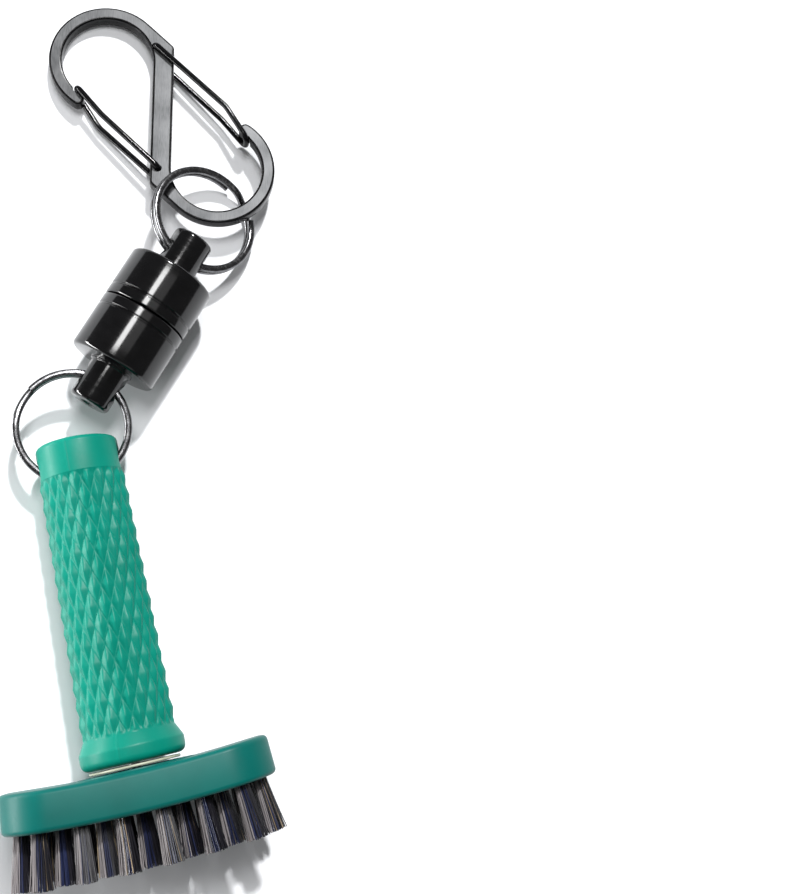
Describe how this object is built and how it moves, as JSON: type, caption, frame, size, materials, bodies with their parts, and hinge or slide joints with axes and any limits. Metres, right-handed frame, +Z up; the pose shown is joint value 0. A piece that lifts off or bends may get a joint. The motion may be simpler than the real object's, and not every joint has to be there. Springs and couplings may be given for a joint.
{
  "type": "groove cleaning brush",
  "caption": "Hand brush with a knurled round handle and a rectangular bristle head, hung by split rings and a magnetic coupler from an S-shaped wire-gate carabiner.",
  "frame": {"origin": "centre of the chain's footprint, on the surface it lies on", "axes": "+Y from the bristles towards the carabiner, +Z up from the surface, +X to the right"},
  "size_m": [0.0542, 0.1802, 0.0258],
  "materials": {
    "teal_plastic": "satin moulded",
    "spacer_plastic": "smooth",
    "bristle": "nylon filament",
    "zinc_steel": "zinc plated",
    "dark_steel": "dark nickel",
    "black_anodised": "glossy black anodised",
    "magnet_nickel": "nickel plated",
    "gunmetal": "brushed",
    "black_wire": "polished black"
  },
  "bodies": {
    "brush": {"head_block": "teal_plastic", "bristle_tuft_01": "bristle", "bristle_tuft_02": "bristle", "bristle_tuft_03": "bristle", "bristle_tuft_04": "bristle", "bristle_tuft_05": "bristle", "bristle_tuft_06": "bristle", "bristle_tuft_07": "bristle", "bristle_tuft_08": "bristle", "bristle_tuft_09": "bristle", "bristle_tuft_10": "bristle", "bristle_tuft_11": "bristle", "bristle_tuft_12": "bristle", "bristle_tuft_13": "bristle", "bristle_tuft_14": "bristle", "bristle_tuft_15": "bristle", "bristle_tuft_16": "bristle", "bristle_tuft_17": "bristle", "bristle_tuft_18": "bristle", "bristle_tuft_19": "bristle", "bristle_tuft_20": "bristle", "bristle_tuft_21": "bristle", "bristle_tuft_22": "bristle", "bristle_tuft_23": "bristle", "bristle_tuft_24": "bristle", "bristle_tuft_25": "bristle", "bristle_tuft_26": "bristle", "bristle_tuft_27": "bristle", "bristle_tuft_28": "bristle", "bristle_tuft_29": "bristle", "bristle_tuft_30": "bristle", "bristle_tuft_31": "bristle", "bristle_tuft_32": "bristle", "handle_grip": "teal_plastic", "handle_plug": "teal_plastic", "neck_spacer": "spacer_plastic", "head_screw": "zinc_steel", "screw_washer": "zinc_steel"},
    "lower_ring": {"lower_split_ring": "dark_steel"},
    "coupler_lower": {"coupler_lower_shell": "black_anodised", "lower_backing_disc": "zinc_steel", "lower_magnet": "magnet_nickel"},
    "coupler_upper": {"coupler_upper_shell": "black_anodised", "upper_backing_disc": "zinc_steel", "upper_magnet": "magnet_nickel"},
    "upper_ring": {"upper_split_ring": "dark_steel"},
    "carabiner": {"carabiner_frame": "gunmetal"},
    "gate_right": {"gate_right": "black_wire"},
    "gate_left": {"gate_left": "black_wire"}
  },
  "joints": [
    {"name": "lower_ring_swing", "type": "hinge", "parent": "brush", "child": "lower_ring", "pos_m": [-0.01378, -0.00991, 0.00833], "axis": [0.9774, 0.2113, 0], "range_deg": [-107, 93]},
    {"name": "coupler_swing", "type": "hinge", "parent": "lower_ring", "child": "coupler_lower", "pos_m": [-0.01028, 0.00721, 0.0091], "axis": [-0.8656, 0.4997, 0.0323], "range_deg": [-98, 98]},
    {"name": "magnet_release", "type": "slide", "parent": "coupler_lower", "child": "coupler_upper", "axis": [0.5, 0.8661, 0], "range_m": [0, 0.03], "stiffness_N_per_m": 40},
    {"name": "upper_ring_swing", "type": "hinge", "parent": "coupler_upper", "child": "upper_ring", "pos_m": [0.00522, 0.03406, 0.0091], "axis": [0.822, -0.4745, -0.3148], "range_deg": [-83, 110]},
    {"name": "carabiner_swing", "type": "hinge", "parent": "upper_ring", "child": "carabiner", "pos_m": [0.00937, 0.04321, 0.00614], "axis": [-0.3963, -0.8737, 0.2822], "range_deg": [0, 115]},
    {"name": "gate_right_turn", "type": "hinge", "parent": "carabiner", "child": "gate_right", "pos_m": [-0.00138, 0.08167, 0.00282], "axis": [0.0453, -0.0645, -0.9969], "range_deg": [0, 18], "stiffness_Nm_per_rad": 0.05},
    {"name": "gate_left_turn", "type": "hinge", "parent": "carabiner", "child": "gate_left", "pos_m": [-0.00021, 0.05393, 0.00467], "axis": [0.0453, -0.0645, -0.9969], "range_deg": [0, 18], "stiffness_Nm_per_rad": 0.05}
  ]
}
